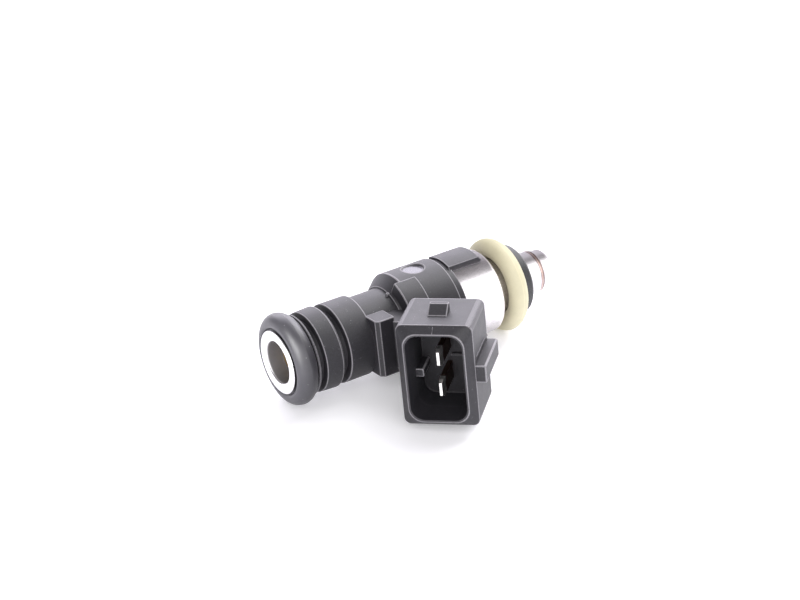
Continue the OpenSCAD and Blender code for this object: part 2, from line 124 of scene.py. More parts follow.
class HoodSizes(bpy.types.PropertyGroup):
    lean: degrees("Lean", "Lean of the plug direction from square, towards the inlet", 46.2)
    place: length("Place", "Distance along the axis to the middle of the hood's front", 15.55)
    reach: length("Reach", "Distance from the axis to the middle of the hood's front", 20.63)
    short_side: length("Short side", "Short side of the hood", 11.5)
    long_side: length("Long side", "Long side of the hood", 16.34)
    depth: length("Depth", "Depth of the hood behind its front edge", 9.4)
    bevel: length("Bevel", "Height of the bevel round the mouth", 1.3)
    cavity_short: length("Cavity short side", "Short side of the plug cavity", 8.56)
    cavity_long: length("Cavity long side", "Long side of the plug cavity", 13.7)
    cavity_depth: length("Cavity depth", "Depth of the cavity behind the front edge", 7.2)
    blade_pitch: length("Blade pitch", "Distance between the blades' middles", 5.0)
    blade_width: length("Blade width", "Width of a blade", 2.8)
    blade_thickness: length("Blade thickness", "Thickness of a blade", 0.8)


class MetalSizes(bpy.types.PropertyGroup):
    lip_radius: length("Lip radius", "Radius of the rolled lip round the inlet",
                       extent("inlet_tube")[2])
    bore_radius: length("Bore radius", "Radius of the inlet's bore", 3.33)
    tube_radius: length("Tube radius", "Outer radius of the fuel tube", 3.83)
    can_radius: length("Housing radius", "Radius of the steel housing",
                       extent("magnet_housing")[2])
    sleeve_radius: length("Sleeve radius", "Radius of the valve sleeve",
                          extent("valve_sleeve")[2])
    tip_radius: length("Tip radius", "Radius of the spray tip", 3.3)
    upper_seal_section: length("Upper seal section", "Half thickness of the upper seal", 1.76)
    lower_seal_section: length("Lower seal section", "Half thickness of the lower seal", 1.59)


class FinishColours(bpy.types.PropertyGroup):
    plastic: colour("Plastic", "Glass filled plastic of the moulding", (0.0125, 0.0118, 0.0148))
    # Colour of the pale flecks, and of the wear and painted highlight on the moulding's edges.
    plastic_fleck_and_highlight: colour("Plastic edge", "Plastic along its edges", (0.26, 0.25, 0.27))
    rubber: colour("Dark rubber", "Upper seal", (0.026, 0.025, 0.030))
    pale_rubber: colour("Pale rubber", "Lower seal", (0.56, 0.52, 0.36))
    ring_plastic: colour("Ring plastic", "Ring that holds the lower seal", (0.026, 0.026, 0.028))
    steel: colour("Steel", "Drawn and turned stainless steel", (0.76, 0.74, 0.76))
    bright_steel: colour("Bright steel", "Polished inlet tube", (0.86, 0.85, 0.86))
    core_steel: colour("Core steel", "Soft magnetic steel of the inner pieces", (0.48, 0.47, 0.46))
    tin: colour("Tin", "Tinned ends of the blades", (0.90, 0.88, 0.85))
    copper: colour("Copper", "Copper alloy of the blades' flanks", (0.10, 0.05, 0.032))
    brass: colour("Brass", "Collar of the filter", (0.72, 0.52, 0.22))


class StageSettings(bpy.types.PropertyGroup):
    floor: colour("Floor", "Colour of the floor", (0.90, 0.90, 0.93))
    floor_glow: amount("Floor glow", "Light that the floor itself gives", 0.22)
    sky: colour("Sky", "Colour of the light from all round", (0.92, 0.86, 0.88))
    sky_strength: amount("Sky strength", "Strength of the light from all round", 0.26)
    back_light: amount("Back light", "Brightness of the screen behind the part", 5.0)
    back_glow: amount("Back glow", "What the bright pieces see of the screen behind", 0.62)
    front_light: amount("Front light", "Brightness of the screen behind the camera", 2.6)
    metal_light: amount("Metal light", "Brightness of the screen that the metal mirrors", 2.4)
    side_light: amount("Side light", "Brightness of the high screen beside the tip", 5.5)
    inlet_light: amount("Inlet light", "Brightness of the low screen beside the inlet", 13.0)
    tint: colour("Back tint", "Colour of the screen behind the part", (0.93, 0.90, 1.0))
    camera_turn: degrees("Camera turn", "Heading of the camera, from +Y towards +X", 31.9227)
    camera_drop: degrees("Camera drop", "Angle that the camera looks down", 29.3779)
    camera_roll: degrees("Camera roll", "Turn of the camera about its line of sight", -2.4290)
    camera_distance: length("Camera distance", "Distance from the camera to its aim", 279.997)
    aim: FloatVectorProperty(name="Aim", description="Point that the camera looks at", size=3,
                             default=(0.018365, -0.006413, 0.007581), subtype="TRANSLATION")
    lens: FloatProperty(name="Lens", description="Focal length of the camera's lens",
                        default=83.17, unit="CAMERA")


def in_mm(group):
    """A settings group as plain numbers, with every length in millimetres."""
    plain = {}
    for name, rule in group.bl_rna.properties.items():
        if name not in ("rna_type", "name"):
            value = getattr(group, name)
            plain[name] = value / MM if getattr(rule, "unit", "") == "LENGTH" else value
    return SimpleNamespace(**plain)


# ---- outlines

def fillets(corners, radii, arc, guard):
    """Turns each corner of a closed outline into an arc that touches both of its sides. The arc's
    points go round its centre at an even angle, and a guard point beside each end keeps the sides
    flat. Gives points [corner, step, 2] and a weight of wear and painted highlight, which is 1 on
    the arcs that stand out."""
    corners = np.asarray(corners, float)
    radii = np.broadcast_to(np.asarray(radii, float), len(corners))
    back = np.roll(corners, 1, 0) - corners
    ahead = np.roll(corners, -1, 0) - corners
    side = np.linalg.norm(ahead, axis=1)
    back = back / np.linalg.norm(back, axis=1)[:, None]
    ahead = ahead / side[:, None]
    half = np.arccos(np.clip((back * ahead).sum(1), -1, 1)) / 2
    reach = radii / np.tan(half)
    inward = back + ahead
    inward = inward / np.linalg.norm(inward, axis=1)[:, None]
    middle = corners + inward * (radii / np.sin(half))[:, None]
    start = corners + back * reach[:, None]
    end = corners + ahead * reach[:, None]
    after = np.minimum(guard, (side - reach - np.roll(reach, -1)) / 3)
    before = np.roll(after, 1)
    turn = (math.pi - 2 * half)[:, None, None]
    share = np.linspace(0, 1, arc + 1)[None, :, None]
    arcs = middle[:, None] + (np.sin((1 - share) * turn) * (start - middle)[:, None]
                              + np.sin(share * turn) * (end - middle)[:, None]) / np.sin(turn)
    points = np.concatenate([(start + back * before[:, None])[:, None], arcs,
                             (end + ahead * after[:, None])[:, None]], axis=1)
    following = np.roll(corners, -1, 0)
    area = (corners[:, 0] * following[:, 1] - corners[:, 1] * following[:, 0]).sum()
    outward = (back[:, 0] * ahead[:, 1] - back[:, 1] * ahead[:, 0]) * area < 0
    # Convex arcs get weight 1: the finishes lighten them, partly as wear and partly as painted
    # highlight.
    worn = np.repeat(outward[:, None] * 1.0, points.shape[1], 1)
    worn[:, [0, -1]] = 0
    return points, worn


def rounded_loop(corners, radii, arc=5, guard=0.1):
    """A closed outline with round corners, as points [n, 2], and their weights of wear and
    painted highlight.
    """
    points, worn = fillets(corners, radii, arc, guard)
    return points.reshape(-1, 2), worn.reshape(-1)


def rounded_line(corners, radii, arc=4, guard=0.08):
    """An open line with round corners between its two plain ends, and its weights of wear and
    painted highlight.
    """
    radii = np.concatenate([[0], np.broadcast_to(np.asarray(radii, float), len(corners) - 2), [0]])
    points, worn = fillets(corners, radii, arc, guard)
    ends = np.asarray(corners, float)
    points = np.concatenate([ends[:1], points[1:-1].reshape(-1, 2), ends[-1:]])
    return points, np.concatenate([[0], worn[1:-1].reshape(-1), [0]])


def drawn_in(corners, inset):
    """An anticlockwise outline moved inwards by one distance, with mitred corners: each corner
    moves along the sum of its two sides' inward normals, over one plus their product."""
    corners = np.asarray(corners, float)
    along = np.roll(corners, -1, 0) - corners
    along = along / np.linalg.norm(along, axis=1)[:, None]
    normal = np.stack([-along[:, 1], along[:, 0]], 1)
    before = np.roll(normal, 1, 0)
    share = inset / (1 + (normal * before).sum(1))
    return corners + (normal + before) * share[:, None]


def rectangle(low_p, high_p, low_q, high_q):
    return [(low_p, low_q), (high_p, low_q), (high_p, high_q), (low_p, high_q)]


# ---- skins

def stacked(rings, worn, looped=False, polished=0.0):
    """Joins rings of points [ring, step, 3] into a closed skin: four-sided faces between neighbours,
    then either the last ring joined to the first, or a fan to the middle of each end ring."""
    rings = np.asarray(rings, float)
    marks = np.stack([np.broadcast_to(mark, rings.shape[:2]).reshape(-1)
                      for mark in (worn, polished)], 1)
    ids = np.arange(rings.shape[0] * rings.shape[1]).reshape(rings.shape[:2])
    low = ids if looped else ids[:-1]
    high = np.roll(ids, -1, 0) if looped else ids[1:]
    quads = np.stack([low, np.roll(low, -1, 1), np.roll(high, -1, 1), high], -1).reshape(-1, 4)
    points = rings.reshape(-1, 3)
    fans = np.zeros((0, 3), int)
    if not looped:
        first = np.stack([np.roll(ids[0], -1), ids[0], np.full(len(ids[0]), len(points))], 1)
        last = np.stack([ids[-1], np.roll(ids[-1], -1), np.full(len(ids[-1]), len(points) + 1)], 1)
        fans = np.concatenate([first, last])
        points = np.concatenate([points, rings[0].mean(0)[None], rings[-1].mean(0)[None]])
        marks = np.concatenate([marks, np.zeros((2, 2))])
    a, b, c, d = (points[quads[:, i]] for i in range(4))
    volume = (np.cross(a, b) * c).sum() + (np.cross(a, c) * d).sum()
    a, b, c = (points[fans[:, i]] for i in range(3))
    if volume + (np.cross(a, b) * c).sum() < 0:
        quads, fans = quads[:, ::-1], fans[:, ::-1]
    return points, quads, fans, marks


def add_piece(name, skins, finish, slot, *nodes):
    """Writes closed skins into one mesh, in place of the CAD nodes that it stands for."""
    starts = np.cumsum([0] + [len(skin[0]) for skin in skins])
    points = np.concatenate([skin[0] for skin in skins]) * MM
    quads = np.concatenate([skin[1] + start for skin, start in zip(skins, starts)])
    fans = np.concatenate([skin[2] + start for skin, start in zip(skins, starts)])
    marks = np.concatenate([skin[3] for skin in skins]).astype(np.float32)
    mesh = bpy.data.meshes.new(name)
    mesh.from_pydata(points.tolist(), [], quads.tolist() + fans.tolist())
    mesh.polygons.foreach_set("use_smooth", np.ones(len(mesh.polygons), bool))
    for column, attribute in enumerate((WEAR_AND_HIGHLIGHT, POLISHED)):
        values = mesh.attributes.new(attribute, "FLOAT", "POINT").data
        values.foreach_set("value", np.ascontiguousarray(marks[:, column]))
    mesh.materials.append(finish)
    mesh.update()
    piece = bpy.data.objects.new(name, mesh)
    bpy.context.scene.collection.objects.link(piece)
    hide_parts(*nodes)
    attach(piece, BODY)
    return piece


def combined(ways, *amounts):
    """The point reached by going each amount along its way."""
    amounts = np.broadcast_arrays(*amounts)
    return sum(amount[..., None] * way for amount, way in zip(amounts, ways))


def plug_ways(turn):
    """Along the axis, out along the plug plane, and up square to both."""
    return (np.array([1.0, 0, 0]), np.array([0, -math.cos(turn), math.sin(turn)]),
            np.array([0, math.sin(turn), math.cos(turn)]))


def hood_frame(turn, hood):
    """The middle of the hood's front, and the ways across its short side, out of its mouth and
    along its long side. The first two are the axis and the outward way turned by the lean."""
    along, out, up = plug_ways(turn)
    lean_cos, lean_sin = math.cos(hood.lean), math.sin(hood.lean)
    ways = (lean_cos * along + lean_sin * out, lean_cos * out - lean_sin * along, up)
    return hood.place * along + hood.reach * out, ways


def round_place(turn):
    """Gives the place of (x, radius, angle): x along the axis, plus the radius times the outward
    direction by the angle's cosine and the upward one by its sine."""
    ways = plug_ways(turn)
    return lambda x, radius, angle: combined(
        ways, x, radius * np.cos(angle), radius * np.sin(angle))


def flat_place(turn):
    """Gives the place of (x, reach, rise) on straight axes: along, outward and upward."""
    ways = plug_ways(turn)
    return lambda x, reach, rise: combined(ways, x, reach, rise)


def hood_place(turn, hood):
    """Gives the place of (across, depth, rise) in the hood."""
    front, ways = hood_frame(turn, hood)
    return lambda across, depth, rise: front + combined(ways, across, depth, rise)


def turned(corners, radii, count=160, arc=4, guard=0.08):
    """A closed profile of (x, radius) spun about the axis: every profile point goes round a circle
    of its own radius."""
    profile, worn = rounded_loop(corners, radii, arc, guard)
    angles = np.linspace(0, 2 * math.pi, count, endpoint=False)[None]
    rings = round_place(0)(profile[:, :1], profile[:, 1:], angles)
    return stacked(rings, worn[:, None], looped=True)


def carried(corners, radii, stations, worn, place, arc=4):
    """An outline carried along a third direction: at each station (inset, height) it is drawn in by
    the inset, its round corners shrink by as much, and place() puts it at the height."""
    rings, weights = [], []
    radii = np.broadcast_to(np.asarray(radii, float), len(corners))
    for (inset, height), rim in zip(stations, worn):
        loop, edge = rounded_loop(drawn_in(corners, inset), np.maximum(radii - inset, 0.02), arc)
        rings.append(place(loop[:, 0], loop[:, 1], height))
        # Rings at the outline's edge also take its convex arcs' weight of wear and painted
        # highlight.
        weights.append(np.maximum(rim, edge * (inset < 0.04)))
    return stacked(rings, weights)


def block(corners, radii, low, high, place, soft=0.13, chamfer=0.0, deep=0.5, steps=0):
    """A prism on an outline from one height to another, with soft rims and, if asked for, a
    chamfer at the high end. Extra steps let it follow a curved place()."""
    rim = [(0, high - chamfer), (chamfer, high)] if chamfer else [(0, high)]
    line = [(deep, low), (0, low), *rim, (deep, high)]
    stations, worn = rounded_line(line, soft)
    if steps:
        heights = np.linspace(low + 2 * soft, high - chamfer - 2 * soft, steps)
        extra = np.stack([np.zeros(steps), heights], 1)
        cut = int(np.argmax(np.diff(stations[:, 1]))) + 1
        stations = np.insert(stations, cut, extra, axis=0)
        worn = np.insert(worn, cut, np.zeros(steps))
    return carried(corners, radii, stations, worn, place)


# ---- moulding

SLEEVE_STEP = 16.12
BODY_BORE = 3.62
CAN_MOUTH = 6.87
DIMPLE_X = 25.43
DIMPLE_LINES = np.array([0.0, 0.7, 1.25, 1.5, 1.62, 1.74, 1.85, 1.94, 2.1, 2.35, 2.8])


def barrel(m):
    """The turned body: a profile spun about the axis. Near each dimple the square grid rings are
    pulled round into circles, and inside the dimple's circle the surface drops to a flat floor."""
    f, g, n, w, c = (m.front_radius, m.groove_radius, m.neck_radius, m.wide_radius,
                     m.collar_radius)
    corners = [(3.70, 3.90), (3.70, f - 0.14), (3.80, f), (4.00, f), (4.00, g), (5.12, g),
               (5.12, f), (7.86, f + 0.13), (8.16, f - 0.10), (8.16, g), (9.37, g), (9.37, f),
               (13.81, f), (14.11, n), (19.40, n), (19.46, n + 0.30), (21.40, w), (29.45, w),
               (29.45, c), (30.65, c), (30.65, CAN_MOUTH), (21.00, CAN_MOUTH), (21.00, BODY_BORE),
               (SLEEVE_STEP, BODY_BORE), (SLEEVE_STEP, 3.85), (3.78, 3.85)]
    soft = [0.02, 0.05, 0.04, 0.05, 0.08, 0.08, 0.08, 0.10, 0.08, 0.08, 0.08, 0.10,
            0.15, 0.10, 0.08, 0.10, 0.30, 0.12, 0.08, 0.10, 0.05, 0.05, 0.05,
            0.05, 0.05, 0.02]
    arc = 4
    profile, worn = rounded_loop(corners, soft, arc)
    stations = DIMPLE_X + np.concatenate([-DIMPLE_LINES[:0:-1], DIMPLE_LINES])
    wide_corner = 16
    cut = (arc + 3) * (wide_corner + 1)
    profile = np.insert(profile, cut, np.stack([stations, np.full(len(stations), w)], 1), axis=0)
    worn = np.insert(worn, cut, np.zeros(len(stations)))
    across = np.concatenate([-DIMPLE_LINES[:0:-1], DIMPLE_LINES]) / w
    even = np.linspace(0, 2 * math.pi, 160, endpoint=False)
    top, bottom = math.pi / 2, 3 * math.pi / 2
    near = np.minimum(abs(even - top), abs(even - bottom)) < (DIMPLE_LINES[-1] + 0.15) / w
    angles = np.sort(np.concatenate([even[~near], top + across, bottom + across]))
    x = np.repeat(profile[:, :1], len(angles), 1)
    radius = np.repeat(profile[:, 1:], len(angles), 1)
    angle = np.repeat(angles[None], len(profile), 0)
    outer = np.zeros(len(profile), bool)
    outer[cut:cut + len(stations)] = True
    for centre in (top, bottom):
        u, v = x - DIMPLE_X, (angle - centre) * w
        square, circle = np.maximum(abs(u), abs(v)), np.hypot(u, v)
        inside = outer[:, None] & (square < DIMPLE_LINES[-1]) & (circle > 0)
        pull = np.clip((DIMPLE_LINES[-1] - square) / 0.6, 0, 1)
        factor = np.where(inside, 1 + pull * (square / np.maximum(circle, 1e-9) - 1), 1)
        x, angle = DIMPLE_X + u * factor, centre + v * factor / w
        circle = np.hypot(x - DIMPLE_X, (angle - centre) * w)
        drop = np.clip((m.dimple_radius - circle) / 0.16, 0, 1)
        drop = drop * drop * (3 - 2 * drop) * outer[:, None] * (abs(angle - centre) < 0.5)
        floor = (w - m.dimple_depth) / np.cos(np.clip(angle - centre, -0.6, 0.6))
        radius = radius + (np.minimum(floor, radius) - radius) * drop
    circle = np.hypot(x - DIMPLE_X, np.minimum(abs(angle - top), abs(angle - bottom)) * w)
    # A painted highlight round each dimple's rim, carried by the weight of wear and painted
    # highlight.
    rim = outer[:, None] * (abs(circle - m.dimple_radius - 0.03) < 0.08)
    floor = outer[:, None] * (circle < m.dimple_radius - 0.15)
    return stacked(round_place(m.plug_turn)(x, radius, angle),
                   np.maximum(worn[:, None], rim * 0.6), looped=True, polished=floor)


def body_details(m, hood):
    """Solids that stand on the barrel: the boss, the arm, the pad, the tongues and the knob."""
    flat, curved = flat_place(m.plug_turn), round_place(m.plug_turn)
    edge = m.soft_edge

    boss = block([(13.66, 4.2), (16.86, 4.2), (16.86, m.boss_reach), (14.26, m.boss_reach),
                  (13.66, m.boss_reach - 0.55)], [0.2, 0.2, 0.12, 0.08, 0.08], -m.boss_half,
                 m.boss_half, flat, soft=edge, deep=0.8)

    def back_corner(across):
        depth = 0.3 - hood.depth
        return (hood.place + across * math.cos(hood.lean) - depth * math.sin(hood.lean),
                hood.reach + across * math.sin(hood.lean) + depth * math.cos(hood.lean))

    half = hood.short_side / 2 - 0.9
    arm_outline = [(16.3, 4.0), (20.2, 4.0), (22.3, 7.3), (27.4, 7.3), (27.4, 8.1),
                   back_corner(half), back_corner(-half), (16.3, m.boss_reach - 0.35)]

    def arm_place(x, reach, rise):
        sunk = 7.3 - np.sqrt(7.3 ** 2 - np.minimum(np.square(rise), 16))
        return flat(x, reach - np.where((reach < 7.5) & (x > 20), sunk, 0), rise)

    arm = block(arm_outline, [0.1] * 4 + [0.2] * 4, -m.arm_half, m.arm_half, arm_place,
                soft=edge, deep=0.4)

    radius = m.wide_radius + m.pad_height
    half_turn = math.radians(70) * radius

    def round_the_axis(x, reach, way):
        return curved(x, reach, way / radius)

    pad_outline = [(19.75, 6.1), (24.05, 7.1), (24.05, radius), (20.15, radius)]
    pad = block(pad_outline, [0.05, 0.05, 0.12, 0.15], -half_turn, half_turn, round_the_axis,
                soft=0.12, deep=0.3, steps=72)
    bevel = 0.45
    tongue_outline = [(30.3, CAN_MOUTH), (36.4, CAN_MOUTH), (36.4, m.wide_radius - bevel),
                      (36.4 - bevel, m.wide_radius), (30.3, m.wide_radius),
                      (30.25, m.wide_radius - bevel)]
    half_tongue = math.radians(24) * radius
    tongues = []
    for centre in (90, -90):
        def round_tongue(x, reach, way, centre=centre):
            side = half_tongue - np.clip(reach - m.wide_radius + bevel, 0, bevel)
            return curved(x, reach, math.radians(centre) + np.clip(way, -side, side) / radius)
        tongues.append(block(tongue_outline, [0.04, 0.04, 0.06, 0.06, 0.06, 0.02], -half_tongue,
                             half_tongue, round_tongue, soft=0.05, deep=0.25, steps=24))
    knob = block(rectangle(19.05, 19.6, 0, 0.5), [0.2] * 4, 5.5, 6.35,
                 lambda x, way, reach: curved(x, reach, math.radians(69) + way / reach),
                 soft=0.12, deep=0.2)
    return [boss, arm, pad, knob] + tongues


def hood_skin(m, hood):
    """The hood as one skin: an outline with round corners carried from the middle of its back, up
    its sides, over the bevel and the lip, down the cavity's drafted walls and across its floor.
    Each ring is a rectangle drawn in by its inset, with its own corner radius."""
    lip = 0.3
    bevel_in = (hood.short_side - hood.cavity_short) / 2 - lip
    bevel_long = (hood.long_side - hood.cavity_long) / 2 - lip
    floor = -hood.cavity_depth
    back, back_wear_and_highlight = rounded_line([(3.0, -hood.depth), (0, -hood.depth), (0, -2.0)],
                                   0.25, guard=0.12)
    line = [(0, -2.0), (0, 0), (bevel_in, hood.bevel), (bevel_in + lip, hood.bevel),
            (bevel_in + lip + 0.22, hood.bevel - 4.2), (bevel_in + lip + 0.26, floor),
            (4.5, floor)]
    front, front_wear_and_highlight = rounded_line(line, [0.13, 0.12, 0.1, 0.5, 0.15], guard=0.1)
    path = np.concatenate([back, front[1:]])
    worn = np.concatenate([back_wear_and_highlight, front_wear_and_highlight[1:]])
    inset, depth = path[:, 0], path[:, 1]
    # Little wear and painted highlight on the lip's inner corners and down the cavity, so the mouth
    # keeps a thin light line.
    worn = worn * np.where(inset > bevel_in + 0.12, 0.12, 1)
    at_back = np.arange(len(path)) < len(back)
    radius = np.where(at_back, np.maximum(1.0 - inset, 0.1),
                      np.interp(inset, [0, bevel_in, bevel_in + lip, bevel_in + lip + 0.3, 4.5],
                                [1.0, 2.2, 2.0, 1.9, 0.3]))
    less = np.where(at_back, 0, np.minimum(inset / bevel_in, 1) * (bevel_in - bevel_long))
    place = hood_place(m.plug_turn, hood)
    rings, weights = [], []
    for i in range(len(path)):
        p, q = hood.short_side / 2 - inset[i], hood.long_side / 2 - inset[i] + less[i]
        loop, edge = rounded_loop(rectangle(-p, p, -q, q), radius[i], arc=8, guard=0.12)
        rings.append(place(loop[:, 0], depth[i], loop[:, 1]))
        # A faint weight of wear and painted highlight along the round corners of the hood's outer
        # outline.
        outer_rim_wear_and_highlight = 0.35 * edge * (inset[i] < 0.01)
        weights.append(np.maximum(worn[i], outer_rim_wear_and_highlight))
    return stacked(rings, weights)


def hood_details(m, hood):
    """Solids on and in the hood: the key rib, the two latch wedges, the key inside the cavity, a
    ledge on the cavity's floor and the fine parting ribs left by the mould."""
    place = hood_place(m.plug_turn, hood)
    side, top = hood.short_side / 2, hood.long_side / 2
    cavity = hood.cavity_short / 2

    def along_depth(across, rise, depth):
        return place(across, depth, rise)

    def from_side(depth, rise, across):
        return place(across, depth, rise)

    rib = block(rectangle(side - 0.3, side + 1.54, 0.24 - 1.37, 0.24 + 1.37), [0.1, 0.2, 0.2, 0.1],
                -hood.depth, -0.1, along_depth, soft=0.15, deep=0.6)
    key = block(rectangle(-cavity - 0.1, -cavity + 1.4, -1.85, -0.55), [0.02, 0.2, 0.2, 0.02],
                -hood.cavity_depth - 0.3, -3.0, along_depth, soft=0.12, deep=0.4)
    ledge = block(rectangle(0.55, cavity + 0.1, -0.1, 0.2), [0.05] * 4,
                  -hood.cavity_depth - 0.3, -hood.cavity_depth + 0.5, along_depth,
                  soft=0.04, deep=0.1)
    outline = [(-5.2, top - 0.3), (-2.8, top - 0.3), (-2.8, top + 0.16), (-4.5, top + 1.35),
               (-5.2, top + 1.35)]
    wedges = [block(outline, [0.05, 0.05, 0.08, 0.12, 0.1], -1.45, 1.45,
                    lambda depth, rise, across, way=way: place(across, depth, way * rise),
                    soft=0.1, deep=0.3) for way in (1, -1)]
    parting = [
        block(rectangle(-0.05, 0.05, 0.2, 0.97), [0.02] * 4, -0.05, 0.05,
              lambda p, q, h: place(p, q * 1.27 + 0.02 + h * 0.6, top - q * 1.02 + h * 0.6),
              soft=0.02, deep=0.03),
        block(rectangle(-7.2, -1.2, 2.55, 2.65), [0.03] * 4, side - 0.2, side + 0.05,
              from_side, soft=0.02, deep=0.03)]
    return [rib, key, ledge] + wedges + parting


# ---- seals and metal

def seal(x, ring_radius, section, flash, pinch=0.0):
    """A round rubber ring: a circle of the section's radius carried round the axis, plus a fine
    ridge on its outer and inner lines where the mould closed, less a soft pinch on the side that
    a lip presses on."""
    around = np.linspace(0, 2 * math.pi, 72, endpoint=False)
    fine = np.array([-0.09, -0.06, -0.045, -0.03, -0.015, 0, 0.015, 0.03, 0.045, 0.06, 0.09])
    near = np.minimum(abs(around), abs(around - 2 * math.pi)) < 0.08
    around = np.sort(np.concatenate([around[~near], fine % (2 * math.pi)]))
    gap = np.minimum(around, 2 * math.pi - around)
    width = 0.022
    reach = section - flash + flash * np.exp(-(gap / width) ** 2)
    reach = reach - pinch * np.exp(-((around - 1.39 * math.pi) / 0.2) ** 2)
    angles = np.linspace(0, 2 * math.pi, 288, endpoint=False)[None]
    radius = ring_radius + (reach * np.cos(around))[:, None]
    along = x + (reach * np.sin(around))[:, None]
    # Weight of wear and painted highlight along the mould line's ridge.
    worn = np.exp(-(gap / (2 * width)) ** 2)[:, None] * 0.4
    return stacked(round_place(0)(along, radius, angles), worn, looped=True)


def support_skin():
    """The ring that holds the lower seal on, with a chamfer towards the tip."""
    start, end, outer = extent("support_ring")
    corners = [(start, 4.58), (start, outer - 0.3), (start + 0.3, outer), (end - 0.3, outer),
               (end, outer - 0.3), (end, 4.58)]
    return turned(corners, [0.05, 0.1, 0.12, 0.1, 0.1, 0.1], 192)


def inlet_skin(k):
    """The fuel tube with its rolled lip: mouth, face, thin edge, then the curve that the seal
    lies in, down to the tube and back through the bore."""
    end = extent("inlet_tube")[1]
    bore, tube, lip = k.bore_radius, k.tube_radius, k.lip_radius
    corners = [(2.6, bore), (0.0, bore), (0.0, lip), (0.22, lip), (0.30, tube + 0.75),
               (0.95, tube + 0.12), (2.0, tube), (end, tube), (end, 3.08), (2.6, 3.08)]
    return turned(corners, [0.04, 0.42, 0.1, 0.1, 0.3, 0.3, 0.3, 0.1, 0.05, 0.04], 224, arc=6)


def housing_skin(k):
    """The steel housing: the wide can over the coil, its soft outer shoulder, and the neck under
    the lower seal."""
    start, end, _ = extent("magnet_housing")
    can, step = k.can_radius, 37.85
    corners = [(start, can - 0.75), (start, can), (step, can), (step, 4.56), (end, 4.56),
               (end, BODY_BORE), (31.4, BODY_BORE), (31.4, can - 0.75)]
    return turned(corners, [0.1, 0.15, 0.55, 0.15, 0.2, 0.1, 0.2, 0.3], 224, arc=6)


def sleeve_skin(k):
    """The thin valve sleeve from its mouth in the fuel tube to its end at the tip."""
    start, end, _ = extent("valve_sleeve")
    outer = k.sleeve_radius
    corners = [(start, 2.57), (start, 3.07), (SLEEVE_STEP, 3.07), (SLEEVE_STEP, outer), (end, outer),
               (end, 3.1), (SLEEVE_STEP + 0.5, 3.1), (SLEEVE_STEP + 0.5, 2.57)]
    return turned(corners, [0.05, 0.05, 0.03, 0.1, 0.2, 0.05, 0.05, 0.05], 160)


def tip_skins(k):
    """The valve seat's outside with its rounded end and recess, and the low weld bead that joins
    it to the sleeve."""
    start, end, _ = extent("valve_seat")
    weld = extent("valve_sleeve")[1]
    outer, recess, floor = k.tip_radius, k.tip_radius - 0.9, end - 0.8
    corners = [(start, 1.56), (start, 3.09), (weld + 0.01, 3.09), (weld + 0.01, k.sleeve_radius),
               (weld + 0.45, outer), (end, outer), (end, recess), (floor, recess), (floor, 0.6),
               (floor - 0.65, 0.6), (floor - 1.59, 1.54)]
    seat = turned(corners, [0.1, 0.1, 0.02, 0.12, 0.2, 0.68, 0.1, 0.08, 0.04, 0.1, 0.1], 160, arc=7)
    bead = turned([(weld + 0.04, outer - 0.1), (weld + 0.3, outer - 0.1),
                   (weld + 0.3, outer + 0.15), (weld + 0.04, k.sleeve_radius + 0.01)],
                  [0.03, 0.03, 0.1, 0.1], 160)
    return [seat, bead]


def terminal_skins(m, hood, way):
    """One terminal: a flat blade whose tip tapers in width and in thickness, and its leg."""
    place, flat = hood_place(m.plug_turn, hood), flat_place(m.plug_turn)
    rise, half = way * hood.blade_pitch / 2, hood.blade_width / 2
    tip, taper, shift = -0.24, 0.75, 0.2
    outline = [(-8.73, rise - half), (tip - taper, rise - half), (tip, rise - half + 0.36),
               (tip, rise + half - 0.36), (tip - taper, rise + half), (-8.73, rise + half)]

    def blade_place(depth, level, across):
        thin = 1 - 0.45 * np.clip((depth - tip + taper) / taper, 0, 1)
        return place(shift + across * thin, depth, level)

    thick = hood.blade_thickness / 2
    blade = block(outline, [0.1, 0.15, 0.1, 0.1, 0.15, 0.1], -thick, thick, blade_place,
                  soft=0.07, deep=0.3)
    leg = block(rectangle(21.3, 22.1, 5.21, 14.9), [0.1] * 4, rise - 0.6, rise + 0.6,
                flat, soft=0.08, deep=0.2)
    return [blade, leg]


# ---- finishes

class Wire:
    """One socket of a material's nodes. Arithmetic on it adds the Math node that works it out."""

    def __init__(self, tree, socket):
        self.tree = tree
        self.socket = socket

    def node(self, kind, settings=None, inputs=None, out=0):
        """Adds a node: its settings first, then the values or links of its sockets."""
        made = self.tree.nodes.new(kind)
        for name, value in (settings or {}).items():
            if name == "stops":
                ramp = made.color_ramp.elements
                while len(ramp) < len(value):
                    ramp.new(0.5)
                for stop, (position, shade) in zip(ramp, value):
                    stop.position = position
                    stop.color = (*shade, 1)
            else:
                setattr(made, name, value)
        for name, value in (inputs or {}).items():
            if isinstance(value, Wire):
                self.tree.links.new(value.socket, made.inputs[name])
            else:
                made.inputs[name].default_value = value
        return Wire(self.tree, made.outputs[out])

    def math(self, operation, *others):
        """A Math node on this value and the others."""
        values = dict(enumerate((self, *others)))
        return self.node("ShaderNodeMath", {"operation": operation}, values)

    def __add__(self, other):
        return self.math("ADD", other)

    def __sub__(self, other):
        return self.math("SUBTRACT", other)

    def __rsub__(self, other):
        return self.math("MULTIPLY_ADD", -1, other)

    def __mul__(self, other):
        return self.math("MULTIPLY", other)

    __radd__, __rmul__ = __add__, __mul__


def noise(place, scale, detail=2.0, rough=0.5, stretch=(1, 1, 1)):
    """Soft noise from 0 to 1 over a place in millimetres."""
    moved = place.node("ShaderNodeVectorMath", {"operation": "MULTIPLY"}, {0: place, 1: stretch})
    return place.node("ShaderNodeTexNoise", None, {"Vector": moved, "Scale": scale,
                                                   "Detail": detail, "Roughness": rough})


